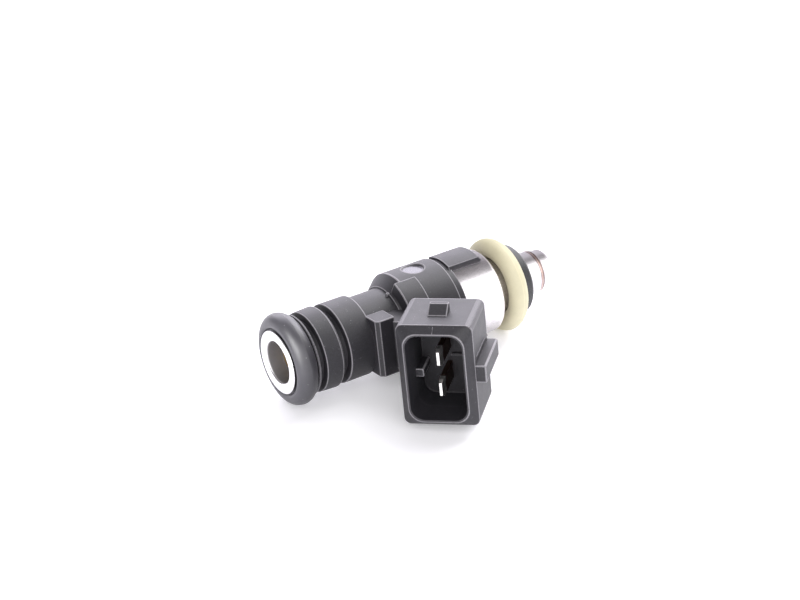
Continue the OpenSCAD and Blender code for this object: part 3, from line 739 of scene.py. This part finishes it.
def specks(place, scale, size):
    """1 at the middle of scattered grains, falling to 0 at their size."""
    cells = place.node("ShaderNodeTexVoronoi", None, {"Vector": place, "Scale": scale})
    return between(cells, size, size * 0.3)


def between(value, low, high):
    """0 at the low value and 1 at the high one, with a soft step between."""
    return value.node("ShaderNodeMapRange", {"interpolation_type": "SMOOTHSTEP"},
                      {"Value": value, "From Min": low, "From Max": high})


def mixed(factor, low, high):
    """One colour where the factor is 0 and another where it is 1."""
    tree_wire = next(value for value in (factor, low, high) if isinstance(value, Wire))
    sides = [value if isinstance(value, Wire) else (*value[:3], 1) for value in (low, high)]
    return tree_wire.node("ShaderNodeMix", {"data_type": "RGBA"},
                          {0: factor, 6: sides[0], 7: sides[1]}, out=2)


PIN_MARK = (0.075, 0.072, 0.085)
HANDLED = (0.93, 0.90, 0.93)


def tinted(shade, factor):
    return tuple(min(1.0, part * factor) for part in shade)


def new_finish(name, **constants):
    """A material with its shader's even values set. Gives the place on the piece in millimetres,
    the attribute of wear and painted highlight, and a call that links or sets the shader's other
    inputs and gives the material."""
    material = bpy.data.materials.new(name)
    material.use_nodes = True
    tree = material.node_tree
    shader = tree.nodes["Principled BSDF"]
    for key, value in constants.items():
        shader.inputs[key.replace("_", " ").title().replace("Ior", "IOR")].default_value = value
    start = Wire(tree, None)
    place = start.node("ShaderNodeTexCoord", out="Object")
    place = place.node("ShaderNodeVectorMath", {"operation": "SCALE"},
                       {0: place, "Scale": 1 / MM})
    worn = start.node("ShaderNodeAttribute", {"attribute_name": WEAR_AND_HIGHLIGHT}, out="Fac")

    def feed(base, rough, normal=None, metallic=0.0):
        sockets = {"Base Color": base, "Roughness": rough, "Metallic": metallic}
        if normal:
            sockets["Normal"] = normal
        for key, value in sockets.items():
            socket = shader.inputs[key]
            if isinstance(value, Wire):
                tree.links.new(value.socket, socket)
            else:
                socket.default_value = value
        return material
    return place, worn, feed


def bumped(height, distance):
    """A normal bent by a height, whose full step is the distance in millimetres."""
    return height.node("ShaderNodeBump", None, {"Height": height, "Distance": distance * MM,
                                                "Strength": 1.0}, out="Normal")


def parts_of(place):
    """The place's three parts and its distance from the axis."""
    split = place.node("ShaderNodeSeparateXYZ", None, {0: place}, out="X")
    sockets = split.socket.node.outputs
    x, y, z = (Wire(place.tree, sockets[part]) for part in "XYZ")
    return x, y, z, (y * y + z * z).math("SQRT")


def moulded_plastic(name, shade, fleck_and_highlight_shade):
    """Glass filled plastic: spark textured grain, cloudy gloss, pale flecks, lighter edges that are
    partly wear and partly painted highlight, and the smooth marks of the ejector pins."""
    place, worn, feed = new_finish(name, specular_ior_level=0.5)
    polished = place.node("ShaderNodeAttribute", {"attribute_name": POLISHED}, out="Fac")
    cloud = noise(place, 0.35, 3)
    grain = noise(place, 5.5, 3, 0.6)
    fleck = specks(place, 2.4, 0.16) * between(noise(place, 1.3, 1), 0.52, 0.66)
    base = mixed(cloud, tinted(shade, 0.8), tinted(shade, 1.25))
    base = mixed(between(grain, 0.3, 0.75), base, tinted(shade, 1.9))
    base = mixed(fleck * 0.6, base, tinted(fleck_and_highlight_shade, 1.2))
    # Rounded edges lightened: partly wear, partly painted highlight.
    base = mixed(worn * 0.8 * between(grain, 0.15, 0.5), base, fleck_and_highlight_shade)
    base = mixed(polished, base, PIN_MARK)
    rough = 0.40 + cloud * 0.14 + grain * 0.12 - polished * 0.3
    return feed(base, rough, bumped((grain * 0.7 + cloud * 0.3) * (1 - polished), 0.03),
                polished * 0.45)


def seal_rubber(name, shade, bright, rough):
    """Rubber with a dusty bloom, faint moulding waves and a few specks of lint."""
    place, worn, feed = new_finish(name, specular_ior_level=0.6)
    bloom = noise(place, 0.45, 4, 0.6)
    fine = noise(place, 9, 2)
    lint = specks(place, 0.9, 0.07)
    base = mixed(bloom, tinted(shade, 0.82), tinted(shade, bright))
    base = mixed(fine * 0.25, base, tinted(shade, 1.5))
    # Lighter along the mould line: partly wear, partly painted highlight on the ridge.
    base = mixed(worn * 0.35, base, tinted(shade, 1.8))
    base = mixed(lint * 0.6, base, (0.75, 0.74, 0.74))
    return feed(base, rough + bloom * 0.2 + fine * 0.06, bumped(bloom * 0.8 + fine * 0.2, 0.02))


def turned_steel(name, shade, rough):
    """Turned and tumbled steel: fine rings round the axis, streaks along it, tiny dents and a
    slight warm cast where it was handled."""
    place, worn, feed = new_finish(name)
    rings = noise(place, 1.0, 2, 0.6, (14, 0.25, 0.25))
    streaks = noise(place, 1.0, 3, 0.6, (0.12, 2.6, 2.6))
    dents = specks(place, 2.2, 0.24)
    cloud = noise(place, 0.3, 3)
    grit = noise(place, 1.0, 4, 0.75, (1.6, 4.2, 4.2))
    base = mixed(cloud, tinted(shade, 0.86), shade)
    base = mixed(streaks * 0.5, base, tuple(a * b for a, b in zip(shade, HANDLED)))
    base = mixed(between(grit, 0.42, 0.62) * 0.45, base, tinted(shade, 0.6))
    base = mixed(dents * 0.5, base, tinted(shade, 0.55))
    # Lighter on rounded edges: partly wear, partly painted highlight.
    base = mixed(worn * 0.5, base, tinted(shade, 1.15))
    return feed(base, rough + streaks * 0.12 + rings * 0.06 + dents * 0.12,
                bumped(rings * 0.3 + streaks * 0.2 + grit * 0.5 - dents * 0.5, 0.016), 1.0)


def inlet_steel(name, shade):
    """Polished steel lip with fine circular scratches; rougher down the bore, with painted shade."""
    place, _, feed = new_finish(name)
    x, _, _, radius = parts_of(place)
    # Mask of the bore's inside: a rougher finish and painted shade.
    bore = between(radius, 3.62, 3.36) * between(x, 0.05, 0.35)
    rings = noise(place, 1.0, 2, 0.6, (9, 0.3, 0.3))
    fine = noise(place, 4.0, 3, 0.6)
    dust = specks(place, 1.1, 0.1)
    base = mixed(fine * 0.5, shade, tinted(shade, 0.9))
    # Painted shade: the bore's inside is painted dark grey.
    base = mixed(bore, base, (0.20, 0.19, 0.195))
    base = mixed(dust * bore, base, (0.6, 0.6, 0.6))
    return feed(base, 0.16 + fine * 0.1 + rings * 0.06 + bore * 0.38,
                bumped(rings * 0.5 + fine * 0.5, 0.006), 1.0 - bore * 0.55)


def tip_steel(name, shade, weld):
    """Ground steel tip with straw and brown heat tints each side of the laser weld."""
    place, _, feed = new_finish(name)
    x, _, _, radius = parts_of(place)
    wander = noise(place, 0.5, 2) * 0.2
    along = (x + wander - (weld - 1.2)) * 0.5
    clean, straw, burnt, pink = shade, (0.42, 0.23, 0.16), (0.05, 0.035, 0.035), (0.74, 0.62, 0.63)
    heat = along.node("ShaderNodeValToRGB", {"stops": [
        (0.0, clean), (0.24, clean), (0.36, pink), (0.41, burnt), (0.46, burnt), (0.50, straw),
        (0.54, straw), (0.58, (0.16, 0.08, 0.07)), (0.62, straw), (0.66, straw), (0.70, burnt),
        (0.75, burnt), (0.82, pink), (0.94, clean)]}, {0: along})
    rings = noise(place, 1.0, 2, 0.6, (16, 0.25, 0.25))
    streaks = noise(place, 1.0, 2, 0.6, (0.2, 3.0, 3.0))
    base = mixed(between(radius, 1.9, 2.6) * 0.85, clean, heat)
    base = mixed(streaks * 0.4, base, tinted(shade, 0.75))
    return feed(base, 0.22 + rings * 0.14 + streaks * 0.1,
                bumped(rings * 0.6 + streaks * 0.4, 0.01), 1.0)


def blade_metal(name, tin, copper, reach, turn, hood):
    """Blades pale at the tip, turning to a dark copper brown on the flanks with depth into the hood.
    """
    place, _, feed = new_finish(name)
    front, (_, way, _) = hood_frame(turn, hood)
    depth = place.node("ShaderNodeVectorMath", {"operation": "DOT_PRODUCT"},
                       {0: place, 1: tuple(way)}, out="Value") - float(front @ way)
    drawn = noise(place, 2.0, 3, 0.6)
    fine = noise(place, 7.0, 2)
    cover = between(depth + drawn * 0.5, -reach, -reach + 0.7)
    base = mixed(drawn * 0.6, copper, tinted(copper, 0.55))
    base = mixed(cover, base, mixed(fine * 0.4, tin, tinted(tin, 0.85)))
    return feed(base, 0.34 + fine * 0.14 - cover * 0.08,
                bumped(drawn * 0.6 + fine * 0.4, 0.012), 1.0)


def plain_metal(name, shade, rough, stretch=(10, 0.4, 0.4)):
    """Machined metal of an inner piece: tool rings along the axis and light stains."""
    place, _, feed = new_finish(name)
    rings = noise(place, 1.0, 2, 0.6, stretch)
    stain = noise(place, 0.8, 3)
    base = mixed(stain, tinted(shade, 0.8), tinted(shade, 1.1))
    return feed(base, rough + rings * 0.12 + stain * 0.08, bumped(rings, 0.01), 1.0)


def inner_plastic(name, shade, rough):
    """Natural coloured plastic of an inner piece, with flow marks."""
    place, _, feed = new_finish(name)
    flow = noise(place, 0.7, 3, 0.6, (0.4, 1.5, 1.5))
    grain = noise(place, 6.0, 2)
    base = mixed(flow, tinted(shade, 0.8), tinted(shade, 1.2))
    return feed(base, rough + grain * 0.15, bumped(grain, 0.01))


def wound_wire(name, shade, pitch):
    """Enamelled copper wire in close turns: a round ridge for each turn, painted shade between
    turns.
    """
    place, _, feed = new_finish(name, coat_weight=0.6)
    x, *_ = parts_of(place)
    turns = (x * (2 * math.pi / pitch)).math("SINE")
    stain = noise(place, 1.0, 2)
    # Painted shade: darker in the grooves between turns.
    base = mixed(between(turns, -0.9, 0.4), tinted(shade, 0.3), shade)
    base = mixed(stain * 0.4, base, tinted(shade, 0.7))
    return feed(base, 0.3 + stain * 0.1, bumped(turns, 0.05), 0.9)


def woven_mesh(name, shade, pitch):
    """Fine filter cloth: threads along the axis crossed by threads round it, with painted shade
    between.
    """
    place, _, feed = new_finish(name)
    x, y, z, _ = parts_of(place)
    angle = y.math("ARCTAN2", z) * 2.0
    along, across = ((value * (2 * math.pi / pitch)).math("SINE") for value in (x, angle))
    cloth = along.math("MAXIMUM", across)
    # Painted shade: darker in the gaps between the threads.
    base = mixed(between(cloth, 0.0, 0.9), tinted(shade, 0.25), shade)
    return feed(base, 0.5 + noise(place, 3.0) * 0.2, bumped(cloth, 0.04))


# ---- operators

def settings(context):
    """All the settings, with lengths in millimetres."""
    scene = context.scene
    return (in_mm(scene.injector_moulding), in_mm(scene.injector_hood),
            in_mm(scene.injector_metal), scene.injector_colours)


class BuildMoulding(bpy.types.Operator):
    """Build the one-piece plastic moulding with its plug hood"""
    bl_idname = "injector.build_moulding"
    bl_label = "Moulding"

    def execute(self, context):
        m, hood, _, colours = settings(context)
        finish = moulded_plastic("black_plastic", colours.plastic, colours.plastic_fleck_and_highlight)
        skins = [barrel(m), hood_skin(m, hood)] + body_details(m, hood) + hood_details(m, hood)
        add_piece("moulding", skins, finish, "black_plastic", "body_moulding")
        return {"FINISHED"}


class BuildSeals(bpy.types.Operator):
    """Build the two rubber seals and the ring that holds the lower one"""
    bl_idname = "injector.build_seals"
    bl_label = "Seals"

    def execute(self, context):
        _, _, k, colours = settings(context)
        for name, node, slot, section, shade, bright, rough, pinch in (
                ("upper_seal", "upper_o_ring", "dark_rubber", k.upper_seal_section,
                 colours.rubber, 1.3, 0.3, 0.38),
                ("lower_seal", "lower_o_ring", "pale_rubber", k.lower_seal_section,
                 colours.pale_rubber, 1.12, 0.42, 0.0)):
            start, end, outer = extent(node)
            skin = seal((start + end) / 2, outer - section, section, 0.02, pinch)
            add_piece(name, [skin], seal_rubber(slot, shade, bright, rough), slot, node)
        add_piece("seal_support", [support_skin()],
                  moulded_plastic("ring_plastic", colours.ring_plastic, (0.15, 0.15, 0.15)),
                  "ring_plastic", "support_ring")
        return {"FINISHED"}


class BuildMetalwork(bpy.types.Operator):
    """Build the fuel tube, the steel housing, the valve sleeve and the tip"""
    bl_idname = "injector.build_metalwork"
    bl_label = "Metalwork"

    def execute(self, context):
        _, _, k, colours = settings(context)
        tip = tip_steel("tip_steel", colours.steel, extent("valve_sleeve")[1])
        add_piece("fuel_tube", [inlet_skin(k)],
                  inlet_steel("polished_steel", colours.bright_steel), "polished_steel",
                  "inlet_tube")
        add_piece("housing", [housing_skin(k)],
                  turned_steel("satin_steel", colours.steel, 0.22), "satin_steel",
                  "magnet_housing")
        add_piece("sleeve", [sleeve_skin(k)], tip, "tip_steel", "valve_sleeve")
        add_piece("tip", tip_skins(k), tip, "tip_steel", "valve_seat")
        return {"FINISHED"}


class BuildTerminals(bpy.types.Operator):
    """Build the two terminals in the plug hood"""
    bl_idname = "injector.build_terminals"
    bl_label = "Terminals"

    def execute(self, context):
        m, hood, _, colours = settings(context)
        finish = blade_metal("tinned_blade", colours.tin, colours.copper, 2.2, m.plug_turn, hood)
        for name, node, way in (("upper_blade", "terminal_upper", 1),
                                ("lower_blade", "terminal_lower", -1)):
            add_piece(name, terminal_skins(m, hood, way), finish, "tinned_blade", node)
        return {"FINISHED"}


class FinishInnerPieces(bpy.types.Operator):
    """Give the CAD pieces inside the injector their finishes"""
    bl_idname = "injector.finish_inner_pieces"
    bl_label = "Inner pieces"

    def execute(self, context):
        colours = context.scene.injector_colours
        core = plain_metal("core_steel", colours.core_steel, 0.32)
        finishes = {
            "filter_collar": plain_metal("filter_brass", colours.brass, 0.28),
            "filter_frame": inner_plastic("filter_plastic", (0.42, 0.36, 0.24), 0.42),
            "filter_mesh": woven_mesh("filter_weave", (0.62, 0.60, 0.54), 0.12),
            "adjusting_sleeve": core, "pole_core": core, "armature": core,
            "needle_tube": core, "magnet_cover": core,
            "return_spring": plain_metal("spring_steel", (0.55, 0.54, 0.55), 0.24, (3, 3, 3)),
            "valve_ball": plain_metal("ball_steel", (0.72, 0.72, 0.74), 0.1, (2, 2, 2)),
            "orifice_plate": bpy.data.objects["tip"].data.materials[0],
            "coil_bobbin": inner_plastic("bobbin_plastic", (0.11, 0.09, 0.07), 0.4),
            "coil_winding": wound_wire("enamelled_wire", (0.62, 0.26, 0.10), 0.16)}
        for node, finish in finishes.items():
            for material_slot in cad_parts[node].material_slots:
                material_slot.material = finish
        return {"FINISHED"}


class BuildStage(bpy.types.Operator):
    """Build the floor, the soft lights and the camera"""
    bl_idname = "injector.build_stage"
    bl_label = "Stage"

    def execute(self, context):
        scene = context.scene
        stage = scene.injector_stage
        floor_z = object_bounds()[0].z
        span = 3.0
        mesh = bpy.data.meshes.new("floor")
        mesh.from_pydata([(-span, -span, floor_z), (span, -span, floor_z), (span, span, floor_z),
                          (-span, span, floor_z)], [], [(0, 1, 2, 3)])
        place, _, feed = new_finish("floor_paper", specular_ior_level=0.3,
                                    emission_color=(1, 1, 1, 1),
                                    emission_strength=stage.floor_glow)
        fibre = noise(place, 0.6, 3)
        paper = mixed(fibre, tinted(stage.floor, 0.985), stage.floor[:])
        mesh.materials.append(feed(paper, 0.6 + fibre * 0.1))
        floor = bpy.data.objects.new("floor", mesh)
        scene.collection.objects.link(floor)
        floor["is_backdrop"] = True
        world = bpy.data.worlds.new("studio")
        world.use_nodes = True
        backdrop = world.node_tree.nodes["Background"].inputs
        backdrop["Color"].default_value = (*stage.sky, 1)
        backdrop["Strength"].default_value = stage.sky_strength
        scene.world = world
        middle = Vector(stage.aim)
        white = (1, 1, 1)
        bright = ("housing", "sleeve", "tip", "fuel_tube")
        dark = ("moulding", "upper_seal", "seal_support", "upper_blade", "lower_blade", "floor")
        for name, aside, height, away, wide, tall, light, tint, lit in (
                ("back_screen", 0, 28, 0.62, 1.1, 0.50, stage.back_light, stage.tint, dark),
                ("back_glow", 0, 28, 0.62, 1.1, 0.50, stage.back_glow, stage.tint,
                 bright + ("lower_seal",)),
                ("front_screen", 180, 32, 0.55, 1.0, 0.52, stage.front_light, white, ()),
                ("side_screen", 45, 50, 0.6, 0.5, 0.5, stage.side_light, white,
                 dark + ("lower_seal",)),
                ("metal_screen", 111, 29, 0.6, 1.3, 0.62, stage.metal_light, white, bright),
                ("inlet_screen", -130, 22, 0.6, 0.5, 0.36, stage.inlet_light, white,
                 ("upper_seal",))):
            heading = stage.camera_turn + math.radians(aside)
            data = bpy.data.lights.new(name, "AREA")
            data.color = tint
            data.shape = "RECTANGLE"
            data.size, data.size_y = wide, tall
            data.energy = light * math.pi * wide * tall
            lamp = bpy.data.objects.new(name, data)
            rise = math.radians(height)
            way = Vector((math.sin(heading) * math.cos(rise), math.cos(heading) * math.cos(rise),
                          math.sin(rise)))
            lamp.location = middle + way * away
            lamp.rotation_mode = "QUATERNION"
            lamp.rotation_quaternion = (-way).to_track_quat("-Z", "Y")
            lamp.visible_camera = False
            scene.collection.objects.link(lamp)
            if lit:
                receivers = bpy.data.collections.new(name + "_receivers")
                for piece in lit:
                    receivers.objects.link(bpy.data.objects[piece])
                lamp.light_linking.receiver_collection = receivers
        self.add_camera(scene, stage, middle)
        scene.view_settings.view_transform = "Standard"
        return {"FINISHED"}

    def add_camera(self, scene, stage, middle):
        turn, drop = stage.camera_turn, stage.camera_drop
        ahead = Vector((math.sin(turn) * math.cos(drop), math.cos(turn) * math.cos(drop),
                        -math.sin(drop)))
        level = Vector((math.cos(turn), -math.sin(turn), 0))
        right = math.cos(stage.camera_roll) * level
        right += math.sin(stage.camera_roll) * level.cross(ahead)
        up = right.cross(ahead)
        data = bpy.data.cameras.new("camera")
        data.sensor_width = 36
        data.lens = stage.lens
        data.clip_start, data.clip_end = 0.01, 20
        camera = bpy.data.objects.new("camera", data)
        turned_to = Matrix((right, up, -ahead)).transposed().to_4x4()
        camera.matrix_world = Matrix.Translation(middle - ahead * stage.camera_distance) @ turned_to
        scene.collection.objects.link(camera)
        scene.camera = camera


STEPS = (BuildMoulding, BuildSeals, BuildMetalwork, BuildTerminals, FinishInnerPieces, BuildStage)
GROUPS = {"injector_moulding": MouldingSizes, "injector_hood": HoodSizes,
          "injector_metal": MetalSizes, "injector_colours": FinishColours,
          "injector_stage": StageSettings}


class InjectorPanel(bpy.types.Panel):
    """Settings and steps of the injector's looks"""
    bl_idname = "VIEW3D_PT_injector"
    bl_label = "Injector"
    bl_space_type = "VIEW_3D"
    bl_region_type = "UI"
    bl_category = "Injector"

    def draw(self, context):
        for step in STEPS:
            self.layout.operator(step.bl_idname)
        for attribute, group in GROUPS.items():
            box = self.layout.box()
            for name in group.__annotations__:
                box.prop(getattr(context.scene, attribute), name)


def register():
    for group in GROUPS.values():
        bpy.utils.register_class(group)
    for attribute, group in GROUPS.items():
        setattr(bpy.types.Scene, attribute, PointerProperty(type=group))
    for made in (*STEPS, InjectorPanel):
        bpy.utils.register_class(made)


def unregister():
    for made in reversed((*STEPS, InjectorPanel)):
        bpy.utils.unregister_class(made)
    for attribute in GROUPS:
        delattr(bpy.types.Scene, attribute)
    for group in reversed(list(GROUPS.values())):
        bpy.utils.unregister_class(group)


def main():
    register()
    for step in STEPS:
        family, name = step.bl_idname.split(".")
        getattr(getattr(bpy.ops, family), name)()
    boxes = {"cad": CAD_BOX, "visual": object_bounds()}
    {name: [list(corner) for corner in box] for name, box in boxes.items()}


if __name__ == "__main__":
    main()
